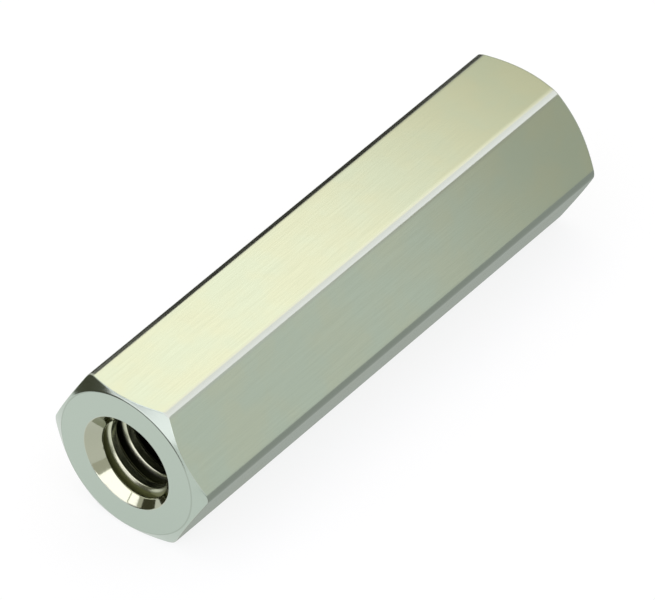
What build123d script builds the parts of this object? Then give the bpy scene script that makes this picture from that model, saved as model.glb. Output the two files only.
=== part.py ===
"""Female hex standoff: a hexagonal bar with a tapped bore through it, lying on one of its flats.

Millimetres. The bar runs along X, centred over the origin, with its lowest flat on z = 0.
"""
from build123d import *
import math
import os

# Hexagonal bar, drawn with rounded corners and cut to length
across_flats = 4.7625
length = 17.4625
corner_radius = 0.22

# Chamfer turned on both ends, which leaves a round end face just inside the flats
face_margin = 0.095
chamfer_angle = 30.0

# Bore, drilled right through at the tapping size
drill_diameter = 2.26

# Thread that the bore is tapped for, which sets how wide the countersinks open
major_diameter = 2.845
countersink_angle = 90.0
mouth_clearance = 0.075

# How far the turned cutting shapes run on past the surfaces that they cut
overrun = 0.5


def hexagonal_bar():
    """The bar as drawn: flats above and below, and a rounded edge along each corner."""
    section = RegularPolygon(radius=across_flats / 2, side_count=6, major_radius=False)
    section = fillet(section.vertices(), radius=corner_radius)
    return extrude(Plane.YZ * section, amount=length / 2, both=True)


def turned(outline):
    """A closed outline of (x, radius) points turned about the bar's axis."""
    return revolve(make_face(Polyline(*outline, close=True)), axis=Axis.X)


def chamfered_space():
    """All that the chamfer tool leaves: a plug with a cone at each end and a round face."""
    face_radius = across_flats / 2 - face_margin
    outside_radius = across_flats / math.sqrt(3) + overrun
    fall = (outside_radius - face_radius) * math.tan(math.radians(chamfer_angle))
    end = length / 2
    return turned([
        (-end, 0),
        (-end, face_radius),
        (fall - end, outside_radius),
        (end - fall, outside_radius),
        (end, face_radius),
        (end, 0),
    ])


def countersunk_bore():
    """The drilled hole with a countersink at each mouth, a little wider than the thread."""
    drill_radius = drill_diameter / 2
    mouth_radius = major_diameter / 2 + mouth_clearance
    slope = math.tan(math.radians(countersink_angle / 2))
    end = length / 2
    sink = (mouth_radius - drill_radius) / slope
    return turned([
        (-end - overrun, 0),
        (-end - overrun, mouth_radius + overrun * slope),
        (sink - end, drill_radius),
        (end - sink, drill_radius),
        (end + overrun, mouth_radius + overrun * slope),
        (end + overrun, 0),
    ])


standoff = hexagonal_bar() & chamfered_space()
standoff -= countersunk_bore()
standoff = Pos(0, 0, across_flats / 2) * standoff

os.makedirs("parts", exist_ok=True)
export_step(standoff, "parts/standoff.step")
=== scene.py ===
"""A female hex standoff lying on one of its flats, on a pale studio table.

Metres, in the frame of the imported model: the bar runs along X, centred over the origin.
"""
import math

import bpy
import numpy as np
from mathutils import Euler, Matrix, Vector


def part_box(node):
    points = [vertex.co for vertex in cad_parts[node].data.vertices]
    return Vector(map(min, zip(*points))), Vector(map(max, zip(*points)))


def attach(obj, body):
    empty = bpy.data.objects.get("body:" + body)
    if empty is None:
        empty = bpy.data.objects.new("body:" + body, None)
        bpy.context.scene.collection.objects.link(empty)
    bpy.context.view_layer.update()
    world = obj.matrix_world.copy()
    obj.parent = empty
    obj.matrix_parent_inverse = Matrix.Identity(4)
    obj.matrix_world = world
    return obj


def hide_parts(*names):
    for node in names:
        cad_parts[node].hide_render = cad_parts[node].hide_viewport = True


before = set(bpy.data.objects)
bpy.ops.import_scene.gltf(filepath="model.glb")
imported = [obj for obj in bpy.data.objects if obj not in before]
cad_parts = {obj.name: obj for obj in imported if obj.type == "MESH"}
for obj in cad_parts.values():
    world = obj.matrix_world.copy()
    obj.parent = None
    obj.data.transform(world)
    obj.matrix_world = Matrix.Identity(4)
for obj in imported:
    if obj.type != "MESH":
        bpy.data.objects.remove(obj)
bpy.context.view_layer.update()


# Hex standoff: free-cutting brass bar, drawn to a hexagon with slightly rounded corners, sawn to
# length and faced, with a 30 degree chamfer turned on both ends. It is drilled through,
# countersunk and tapped from each end, and then barrel-plated with nickel.
bar_low, bar_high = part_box("standoff")
length = bar_high.x - bar_low.x
across_flats = bar_high.z - bar_low.z
axis_height = across_flats / 2
corner_length = 0.45e-3
face_margin = 0.095e-3
face_radius = across_flats / 2 - face_margin
chamfer_slope = math.tan(math.radians(30))

major_radius = 1.4225e-3
drill_radius = 1.13e-3
mouth_clearance = 0.075e-3
mouth_radius = major_radius + mouth_clearance
pitch = 0.635e-3
root_flat = pitch / 8
flank_slope = math.tan(math.radians(30))
tapped_depth = 6.35e-3
tap_lead = 1.6e-3
first_crest = 0.838e-3

# The countersink closed the first turn by this much. The closing starts to fade at this place along
# the helix, in turns from the first crest, and is gone this many turns later.
closed_width = 0.08e-3
closed_until = -0.9
closed_fade = 0.5

# How far the turned edges are broken, how far beyond that a row keeps the sides flat, and how softly
# the thread's own edges are rounded
edge_round = 0.03e-3
edge_support = 0.02e-3
thread_softness = 0.012e-3

# Rows across the thread, as shares of the pitch from a crest's middle to the groove's. They lie
# closest together round the land's edge near 0.172, the root's near 0.438 and the closed one's near 0.299.
flank_places = np.array([0.07, 0.13, 0.155, 0.172, 0.19, 0.22, 0.3, 0.38, 0.42, 0.438, 0.456])
closed_places = [0.28, 0.299, 0.318]


def hexagon_columns(flat_steps=11, corner_steps=13, substeps=40):
    """The rounded hexagon as angles round the axis and distances from it, closed by its first point.

    One sixth is a flat and the corner after it, seen with the flat's normal along the real axis. At
    a share u of the corner's length the normal has turned by t = 60 degrees times u^2 (3 - 2 u), slowly
    near the flats as drawing leaves it, and the outline runs in the direction i e^(i t). Its points
    are that direction summed along the corner. Each sixth is turned 60 degrees on from the last.
    """
    share = np.linspace(0, 1, corner_steps * substeps + 1)
    turn = np.radians(60) * share ** 2 * (3 - 2 * share)
    direction = 1j * np.exp(1j * turn)
    step = corner_length / (corner_steps * substeps) * (direction[1:] + direction[:-1]) / 2
    curve = np.concatenate([[0], np.cumsum(step)])
    cut = abs(curve[-1]) / (2 * math.cos(math.radians(30)))
    reach = across_flats / 2 * math.tan(math.radians(30)) - cut
    inside = reach - edge_support
    flat = 1j * np.concatenate([[-reach], np.linspace(-inside, inside, flat_steps)])
    corner = 1j * reach + curve[:-1:substeps]
    sixth = across_flats / 2 + np.concatenate([flat, corner])
    facing = np.radians(30 + 60 * np.arange(6))
    outline = (np.exp(1j * facing)[:, None] * sixth).ravel()
    outline = np.append(outline, outline[0])
    return np.unwrap(np.angle(outline)), np.abs(outline)


def eased(corners, ease=edge_round, support=edge_support, steps=5):
    """A broken line whose inner corners are rounded, for every column at once.

    corners has one (x, radius) pair for each corner and column. At each corner c the line leaves its
    side at a, a distance ease before c, and joins the next at b, as far after it, along the curve
    (1 - t)^2 a + 2 t (1 - t) c + t^2 b. A row lies just outside a and b, so that the sides shade flat.
    """
    back = corners[:-2] - corners[1:-1]
    ahead = corners[2:] - corners[1:-1]
    back /= np.linalg.norm(back, axis=-1, keepdims=True)
    ahead /= np.linalg.norm(ahead, axis=-1, keepdims=True)
    t = np.linspace(0, 1, steps)[:, None, None, None]
    c = corners[1:-1]
    curve = c + (1 - t) ** 2 * ease * back + t ** 2 * ease * ahead
    before = (c + (ease + support) * back)[None]
    after = (c + (ease + support) * ahead)[None]
    rows = np.concatenate([before, curve, after]).swapaxes(0, 1)
    return rows.reshape(-1, *corners.shape[1:])


def larger(a, b, softness=thread_softness):
    """The larger of a and b, with the corner between them rounded: (a + b + root((a - b)^2 + s^2)) / 2."""
    return (a + b + np.hypot(a - b, softness)) / 2


def smaller(a, b, softness=thread_softness):
    """The smaller of a and b, rounded in the same way."""
    return (a + b - np.hypot(a - b, softness)) / 2


def bore_radius(angle, depth):
    """How wide the tapped bore is at a depth under its mouth and an angle round the axis.

    The thread is a 60 degree vee that turns right-handed, so its phase is depth / pitch less the
    share of a turn, and a crest's middle lies at each whole number. Past half the land the wall falls
    away at the flank's slope down to the major radius. The countersink, cut after the thread, has
    pressed the first turn's outer flank inwards by closed_width, and that fades out along the helix.
    The tap's lead, which runs the thread out, is taken as the smaller, and then the cone as the larger.
    """
    land = pitch - root_flat - 2 * (major_radius - drill_radius) * flank_slope
    phase = (depth - first_crest) / pitch - angle / (2 * np.pi)
    groove_number = np.floor(phase)
    along = np.clip((groove_number + angle / (2 * np.pi) - closed_until) / closed_fade, 0, 1)
    closed = closed_width * (1 - along ** 2 * (3 - 2 * along))
    outer = (phase - groove_number) * pitch - land / 2 - closed
    inner = (groove_number + 1 - phase) * pitch - land / 2
    groove = smaller(drill_radius + smaller(outer, inner) / flank_slope, major_radius)
    lead = drill_radius + (tapped_depth - depth) * (major_radius - drill_radius) / tap_lead
    groove = smaller(groove, lead)
    return larger(larger(groove, drill_radius), mouth_radius - depth)


def threaded_rows(angle):
    """Depths under the mouth of rows that follow the thread round, one array of columns for each row.

    A row keeps its place in the thread's profile, so it goes one pitch deeper in each turn and meets
    the next turn's row at the seam. Rows past either end of the thread lie on that end's ring.
    """
    places = np.sort(np.concatenate([[0.0], flank_places, [0.5], 1 - flank_places, closed_places]))
    start = mouth_radius - major_radius
    lowest = math.floor((start - first_crest) / pitch - angle.max() / (2 * np.pi)) - 1
    highest = math.ceil((tapped_depth - first_crest) / pitch - angle.min() / (2 * np.pi)) + 1
    turns = np.arange(lowest, highest + 1)
    phase = (turns[:, None] + places).ravel()[:, None]
    depth = first_crest + pitch * (phase + angle / (2 * np.pi))
    return np.clip(depth, start, tapped_depth)


def standoff_surface():
    """The whole skin as a grid that closes both ways: round the axis, and along the section.

    In each column the section runs from the left mouth over the left face, chamfer, flat, right
    chamfer and right face into the right mouth, and back through the bore. The chamfer's cone meets
    the hexagon where its radius reaches the outline's, which makes the curved edges on the flats.
    """
    angle, outline = hexagon_columns()
    columns = len(angle)
    end = length / 2
    fall = (outline - face_radius) * chamfer_slope
    sink_start = 3 * edge_round
    level = np.ones(columns)

    def ring(x, radius):
        return np.stack([x * level, radius * level], axis=-1)

    outside = eased(np.stack([
        ring(-end + sink_start, mouth_radius - sink_start),
        ring(-end, mouth_radius),
        ring(-end, face_radius),
        ring(-end + fall, outline),
        ring(end - fall, outline),
        ring(end, face_radius),
        ring(end, mouth_radius),
        ring(end - sink_start, mouth_radius - sink_start),
    ]))
    far_angle = np.pi - angle
    far_depth = threaded_rows(far_angle)
    far = np.stack([end - far_depth, bore_radius(far_angle, far_depth)], axis=-1)
    near_depth = threaded_rows(angle)
    near = np.stack([near_depth - end, bore_radius(angle, near_depth)], axis=-1)
    section = np.concatenate([outside, far, near[::-1]])
    x, radius = section[..., 0], section[..., 1]
    return np.stack([x, radius * np.cos(angle), radius * np.sin(angle) + axis_height], axis=-1)


def closed_mesh(name, grid, precision=1e-9):
    """A mesh from a grid whose last row joins its first, with points that coincide made one."""
    rows, columns = grid.shape[:2]
    points, place = np.unique(np.round(grid.reshape(-1, 3) / precision), axis=0, return_inverse=True)
    place = place.reshape(rows, columns)
    ahead = np.roll(place, -1, axis=0)
    quads = np.stack([place[:, :-1], place[:, 1:], ahead[:, 1:], ahead[:, :-1]], axis=-1).reshape(-1, 4)
    halves = np.concatenate([quads[:, [0, 1, 2]], quads[:, [0, 2, 3]]])
    a, b, c = halves.T
    faces = halves[(a != b) & (b != c) & (c != a)]
    mesh = bpy.data.meshes.new(name)
    mesh.from_pydata(points * precision, [], faces)
    mesh.shade_smooth()
    return mesh


standoff = bpy.data.objects.new("hex_standoff", closed_mesh("hex_standoff", standoff_surface()))
bpy.context.scene.collection.objects.link(standoff)


class Shade:
    """A shader socket that takes Python's arithmetic: each operator adds the Math node that does it."""

    def __init__(self, tree, socket=None):
        self.tree = tree
        self.socket = socket

    def node(self, kind, settings, sockets, output=0):
        """A new node of a kind: its settings are made first, then its sockets get their values or links."""
        made = self.tree.nodes.new("ShaderNode" + kind)
        for name, setting in settings.items():
            setattr(made, name, setting)
        for name, value in sockets.items():
            if isinstance(value, Shade):
                self.tree.links.new(value.socket, made.inputs[name])
            else:
                made.inputs[name].default_value = value
        return Shade(self.tree, made.outputs[output])

    def maths(self, operation, first, second):
        return self.node("Math", {"operation": operation}, {0: first, 1: second})

    def __add__(self, other):
        return self.maths("ADD", self, other)

    def __sub__(self, other):
        return self.maths("SUBTRACT", self, other)

    def __rsub__(self, other):
        return self.maths("SUBTRACT", other, self)

    def __mul__(self, other):
        return self.maths("MULTIPLY", self, other)

    def __pow__(self, other):
        return self.maths("POWER", self, other)

    def __abs__(self):
        return self.maths("ABSOLUTE", self, 0.0)

    __radd__ = __add__
    __rmul__ = __mul__

    def rise(self, low, high):
        """0 below low and 1 above high, with a smooth step between them."""
        return self.node("MapRange", {"interpolation_type": "SMOOTHSTEP"},
                         {"Value": self, "From Min": low, "From Max": high})

    def blend(self, without, with_it):
        """A colour that goes from the first to the second as this mask goes from 0 to 1."""
        return self.node("Mix", {"data_type": "RGBA"}, {"Factor": self, 6: without, 7: with_it}, output=2)

    def object_place(self):
        """Where a point lies on the object, as a vector in metres."""
        return self.node("TexCoord", {}, {}, output="Object")

    def parts(self):
        """The x, y and z of this vector."""
        made = self.node("SeparateXYZ", {}, {0: self}).socket.node
        return [Shade(self.tree, output) for output in made.outputs]


# Of these, the corner, countersink, deep and groove colours are painted shade.
plate_colour = (0.485, 0.545, 0.475, 1)
plate_warm = (0.505, 0.545, 0.455, 1)
streak_colour = (0.38, 0.43, 0.36, 1)
face_colour = (0.445, 0.52, 0.45, 1)
corner_shade_colour = (0.475, 0.51, 0.46, 1)
face_line_colour = (0.16, 0.18, 0.15, 1)
sink_shade_colour = (0.40, 0.42, 0.32, 1)
crest_colour = (0.55, 0.58, 0.44, 1)
deep_shade_colour = (0.3, 0.32, 0.25, 1)
groove_shade_colour = (0.045, 0.05, 0.034, 1)
residue_colour = (0.145, 0.16, 0.062, 1)

# Each pair is where a finish or a painted shade starts to come in or go out, and where it has done so.
# The first four are distances from the axis. The next two are distances off a cut surface, and the third
# is how far inside the corners' reach. The last two are depths under an end.
groove_radius = (1.18e-3, 1.27e-3)
bore_limit = (1.44e-3, 1.46e-3)
sink_limit = (1.47e-3, 1.5e-3)
face_start = (1.49e-3, 1.5e-3)
cut_skin = (0.002e-3, 0.006e-3)
cone_skin = (0.0, 0.03e-3)
corner_shade_inset = (0.05e-3, 0.015e-3)
residue_depth = (0.85e-3, 1.25e-3)
deep_shade_depth = (1.2e-3, 2.6e-3)

# The fine line round the turned face: how far it reaches to each side and in depth, as such pairs,
# and how much it shows
face_line_width = (0.01e-3, 0.03e-3)
face_line_depth = (0.02e-3, 0.04e-3)
face_line_share = 0.25

# How close the marks lie, in noise cells a metre, and how much they colour the plate
streaks_along = 700
streaks_across = 21000
rings_outwards = 26000
rings_inwards = 9000
mottle_scale = 700.0
mottle_range = (0.35, 0.65)
grain_range = (0.3, 0.75)
grain_share = 0.14

# Roughness of the plain plate and what the marks and the bore add to it, the share of it that the
# countersink's polish takes off, the height of the marks in metres, and what residue hides of the metal
plate_roughness = 0.07
grain_roughness = 0.14
mottle_roughness = 0.04
bore_roughness = 0.05
sink_polish = 0.5
grain_height = 0.18e-6
mottle_height = 1.2e-6
residue_cover = 0.6


def nickel_plate():
    """Nickel over drawn and turned brass, from Object coordinates alone.

    Fine streaks run along the bar where it was drawn, and rings round the axis where it was turned.
    The corners are slightly greyer, which is painted shade, and a faint dark line marks the edge of the
    turned face. The countersink is darker, which is painted shade, and also yellower and smoother. In the
    bore the thread's crests are yellower, and the wall gets darker with depth and the grooves nearly
    black, both painted shade, but for dull olive residue in the first.
    """
    material = bpy.data.materials.new("nickel_plate")
    material.use_nodes = True
    tree = material.node_tree
    shader = tree.nodes["Principled BSDF"]
    start = Shade(tree)
    place = start.object_place()
    x, y, z = place.parts()
    z = z - axis_height
    radius = (y * y + z * z) ** 0.5
    depth = length / 2 - abs(x)

    off_cone = (radius + depth - mouth_radius).rise(*cone_skin)
    in_bore = (1 - radius.rise(*bore_limit)) * off_cone
    in_groove = in_bore * radius.rise(*groove_radius)
    in_sink = (1 - off_cone) * (1 - radius.rise(*sink_limit))
    off_chamfer = (depth - (radius - face_radius) * chamfer_slope).rise(*cut_skin)
    turned = (1 - off_chamfer) * radius.rise(*face_start)
    faced = 1 - depth.rise(*cut_skin)
    corner_reach = hexagon_columns()[1].max()
    corner = radius.rise(*(corner_reach - inset for inset in corner_shade_inset))
    face_line = 1 - abs(radius - face_radius).rise(*face_line_width)
    face_line = face_line * (1 - depth.rise(*face_line_depth))
    residue = in_groove * (1 - depth.rise(*residue_depth))

    stretched = start.node("CombineXYZ", {},
                           {0: x * streaks_along, 1: y * streaks_across, 2: z * streaks_across})
    streaks = start.node("TexNoise", {},
                         {"Vector": stretched, "Scale": 1.0, "Detail": 5.0, "Roughness": 0.6})
    ring_place = radius * rings_outwards + depth * rings_inwards
    rings = start.node("TexNoise", {"noise_dimensions": "1D"},
                       {"W": ring_place, "Scale": 1.0, "Detail": 3.0, "Roughness": 0.6})
    mottle = start.node("TexNoise", {},
                        {"Vector": place, "Scale": mottle_scale, "Detail": 3.0, "Roughness": 0.5})
    on_rings = (turned + faced + (1 - off_cone)).rise(0.0, 1.0)
    grain = streaks * (1 - on_rings) + rings * on_rings

    colour = mottle.rise(*mottle_range).blend(plate_colour, plate_warm)
    colour = (grain.rise(*grain_range) * grain_share).blend(colour, streak_colour)
    colour = (turned + faced).rise(0.0, 1.0).blend(colour, face_colour)
    # Painted shade: the rounded corners are greyer than the flats.
    colour = corner.blend(colour, corner_shade_colour)
    colour = (face_line * face_line_share).blend(colour, face_line_colour)
    # Painted shade: the countersink is darker; it is also yellower.
    colour = in_sink.blend(colour, sink_shade_colour)
    colour = in_bore.blend(colour, crest_colour)
    # Painted shade: the bore's wall darkens with depth.
    colour = (in_bore * depth.rise(*deep_shade_depth)).blend(colour, deep_shade_colour)
    # Painted shade: the thread's grooves are nearly black.
    colour = in_groove.blend(colour, groove_shade_colour)
    colour = residue.blend(colour, residue_colour)

    roughness = plate_roughness + grain_roughness * grain + mottle_roughness * mottle
    roughness = roughness * (1 - sink_polish * in_sink) + bore_roughness * in_bore
    height = grain * grain_height + mottle * mottle_height
    bump = start.node("Bump", {}, {"Strength": 1.0, "Distance": 1.0, "Height": height})
    metal = 1 - residue_cover * residue
    tree.links.new(colour.socket, shader.inputs["Base Color"])
    tree.links.new(metal.socket, shader.inputs["Metallic"])
    tree.links.new(roughness.socket, shader.inputs["Roughness"])
    tree.links.new(bump.socket, shader.inputs["Normal"])
    return material


standoff.data.materials.append(nickel_plate())
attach(standoff, "root")
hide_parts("standoff")


# Table: a wide matt board that glows white, as a light table does. It is lit evenly from under, so
# the bar casts only a faint shadow on it.
floor_half = 1.0
floor_mesh = bpy.data.meshes.new("table")
floor_corners = [(-floor_half, -floor_half, 0), (floor_half, -floor_half, 0)]
floor_corners += [(floor_half, floor_half, 0), (-floor_half, floor_half, 0)]
floor_mesh.from_pydata(floor_corners, [], [(0, 1, 2, 3)])
floor = bpy.data.objects.new("table", floor_mesh)
bpy.context.scene.collection.objects.link(floor)
board = bpy.data.materials.new("white_board")
board.use_nodes = True
board_shader = board.node_tree.nodes["Principled BSDF"]
board_shader.inputs["Base Color"].default_value = (0.15, 0.153, 0.162, 1)
board_shader.inputs["Roughness"].default_value = 0.9
board_shader.inputs["Specular IOR Level"].default_value = 0.0
board_shader.inputs["Emission Color"].default_value = (1, 1, 1, 1)
board_shader.inputs["Emission Strength"].default_value = 0.83
floor_mesh.materials.append(board)


# Studio light: glowing cards hang over the bar and stand before it and beyond its left end. Dark and
# grey cards, called flags and sheets, stand or lie round it and show in reflections alone. The camera
# sees none of the cards.
x_axis, y_axis, z_axis = 0, 1, 2


def card(name, corner, across, up, light, fade=None, flag=False):
    """A flat card that gives off light, a colour with its strength, from its corner and its two sides.

    On a card that lies flat, up is the side that runs back. A fade is an axis, where along it the
    light starts to change and where it ends, and the light there. A flag is seen by reflections alone.
    """
    corner, across, up = np.array(corner), np.array(across), np.array(up)
    mesh = bpy.data.meshes.new(name)
    mesh.from_pydata([corner, corner + across, corner + across + up, corner + up], [], [(0, 1, 2, 3)])
    made = bpy.data.objects.new(name, mesh)
    bpy.context.scene.collection.objects.link(made)
    made.visible_camera = False
    made.visible_diffuse = not flag
    made.visible_shadow = not flag
    material = bpy.data.materials.new(name)
    material.use_nodes = True
    tree = material.node_tree
    tree.nodes.remove(tree.nodes["Principled BSDF"])
    start = Shade(tree)
    colour = (*light, 1)
    if fade:
        axis, near, far, light_there = fade
        along = start.object_place().parts()[axis]
        share = start.node("MapRange", {}, {"Value": along, "From Min": near, "From Max": far})
        colour = share.blend(colour, (*light_there, 1))
    glow = start.node("Emission", {}, {"Color": colour, "Strength": 1.0})
    tree.links.new(glow.socket, tree.nodes["Material Output"].inputs["Surface"])
    mesh.materials.append(material)


# Over the bar: a warm softbox to the back, which fades towards the right, and a card to the front,
# which is brighter further out. Before it: a standing card, which also fades towards the right.
overhead = 0.05
card("softbox", (-0.03, 0.006, overhead), across=(0.09, 0, 0), up=(0, 0.041, 0),
     light=(1.75, 1.65, 1.39), fade=(x_axis, 0.04, 0.0525, (0.77, 0.73, 0.52)))
card("top_card", (-0.03, -0.09, overhead), across=(0.115, 0, 0), up=(0, 0.096, 0),
     light=(1.56, 1.52, 1.58), fade=(y_axis, -0.045, 0.0, (1.4, 1.36, 1.38)))
card("front_card", (-0.03, -0.05, 0.0), across=(0.09, 0, 0), up=(0, 0, 0.041),
     light=(0.82, 0.85, 0.79), fade=(x_axis, 0.0369, 0.0427, (0.57, 0.57, 0.46)))

# Beyond the left end, in one plane: a low card, two cards higher up that get brighter upwards, and
# a bright one on their front side.
left_side = -0.07
low_top = 0.0155
dim_light = (1.0, 0.94, 1.05)
bright_light = (2.7, 2.6, 2.8)
card("left_low_card", (left_side, -0.016, 0.0), across=(0, 0.0755, 0), up=(0, 0, low_top),
     light=(1.75, 1.65, 1.78))
card("left_card", (left_side, -0.016, low_top), across=(0, 0.054, 0), up=(0, 0, 0.0495),
     light=dim_light, fade=(z_axis, 0.03, 0.038, bright_light))
card("left_front_card", (left_side, -0.034, 0.0075), across=(0, 0.018, 0), up=(0, 0, 0.0575),
     light=bright_light)
card("left_back_card", (left_side, 0.0415, low_top), across=(0, 0.0335, 0), up=(0, 0, 0.0495),
     light=dim_light, fade=(z_axis, 0.044, 0.048, bright_light))

# Flags stand: a low one behind the left end, which shows in the chamfer's upper back and in the
# countersink's lower front, and a tall one far behind, which is darker at its top. Sheets lie on the
# table behind, left of and before the bar.
on_table = 0.00002
flag_grey = (0.084, 0.081, 0.052)
flag_black = (0.008, 0.008, 0.006)
sheet_grey = (0.42, 0.45, 0.42)
card("back_flag", (-0.03, 0.012, 0.0), across=(0.0195, 0, 0), up=(0, 0, 0.006),
     light=flag_grey, flag=True)
card("ridge_flag", (0.0615, 0.12, 0.0), across=(0.037, 0, 0), up=(0.0293, 0, 0.118),
     light=(0.06, 0.058, 0.046), fade=(z_axis, 0.035, 0.06, flag_black), flag=True)
card("ridge_sheet", (-0.006, 0.0105, on_table), across=(0.026, 0, 0), up=(0.075, 0.1075, 0),
     light=(0.03, 0.029, 0.023), flag=True)
card("left_sheet", (-0.045, -0.004, on_table), across=(0.028, 0, 0), up=(0, 0.039, 0),
     light=(0.05, 0.048, 0.038), flag=True)
card("front_sheet", (-0.0125, -0.049, on_table), across=(0.08, 0, 0), up=(0, 0.045, 0),
     light=sheet_grey, flag=True)
# Painted shadow: the grey sheet at the bar's foot puts the bar's contact shade on the table into its
# reflections.
card("foot_shadow_sheet", (-0.0084, -0.004, on_table), across=(0.03, 0, 0), up=(0, 0.003, 0),
     light=sheet_grey, flag=True)

# The room's own light, which is slightly warm
world = bpy.data.worlds.new("studio")
world.use_nodes = True
world.node_tree.nodes["Background"].inputs["Color"].default_value = (1.0, 0.98, 0.9, 1)
world.node_tree.nodes["Background"].inputs["Strength"].default_value = 0.75
bpy.context.scene.world = world
bpy.context.scene.view_settings.view_transform = "Standard"


# Camera: a long lens, well above the table, which looks down on the left end and the front. Its
# target lies to the right of the left end face's middle and above it, as the camera sees it.
azimuth = -50.09
elevation = 41.37
roll = -1.5
camera_distance = 0.23
target_right = 5.441e-3
target_up = 4.413e-3
camera = bpy.data.objects.new("camera", bpy.data.cameras.new("camera"))
camera.data.lens = 468.3
camera.data.clip_start = 0.01
turn = Euler((math.radians(90 - elevation), 0, math.radians(azimuth))).to_matrix()
turn = turn @ Matrix.Rotation(math.radians(roll), 3, "Z")
left_face = Vector((-length / 2, 0, axis_height))
camera_place = left_face + turn @ Vector((target_right, target_up, camera_distance))
camera.matrix_world = Matrix.Translation(camera_place) @ turn.to_4x4()
bpy.context.scene.collection.objects.link(camera)
bpy.context.scene.camera = camera
